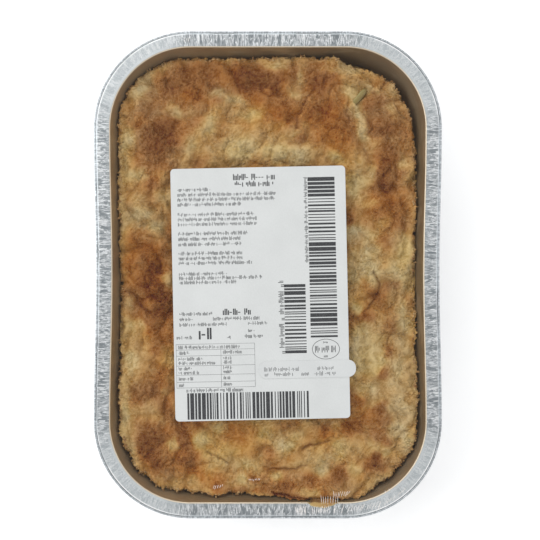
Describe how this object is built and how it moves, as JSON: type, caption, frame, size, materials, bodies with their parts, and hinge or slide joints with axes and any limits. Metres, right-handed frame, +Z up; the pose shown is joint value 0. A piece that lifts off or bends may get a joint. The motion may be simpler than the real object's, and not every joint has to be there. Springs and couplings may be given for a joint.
{
  "type": "potato gratin in a sealed foil tray",
  "caption": "Baked potato gratin with a browned, puffy crust, filling a smooth foil tray with round corners, sealed under clear film with a paper label.",
  "frame": {"origin": "middle of the tray's underside, on the surface that it stands on", "axes": "+Z up out of the food, +Y along the tray's length towards the label's top edge, +X across the tray"},
  "size_m": [0.18, 0.252, 0.0475],
  "materials": {
    "foil": "smooth rolled foil, bright on the flange, warmer where the walls mirror the food",
    "crust": "baked cream and cheese crust, mottled from pale cream to orange and dark brown",
    "potato": "cooked potato edge, dull olive yellow",
    "film": "clear heat-sealed film, glossy, drawn tight",
    "label_paper": "matt white thermal paper with grey-black marks and bars",
    "sticker_paper": "matt white paper with small grey marks"
  },
  "bodies": {
    "root": {"tray": "foil", "gratin": "crust", "potato_slice": "potato", "lid_film": "film", "label": "label_paper", "lot_sticker": "sticker_paper"}
  },
  "joints": []
}
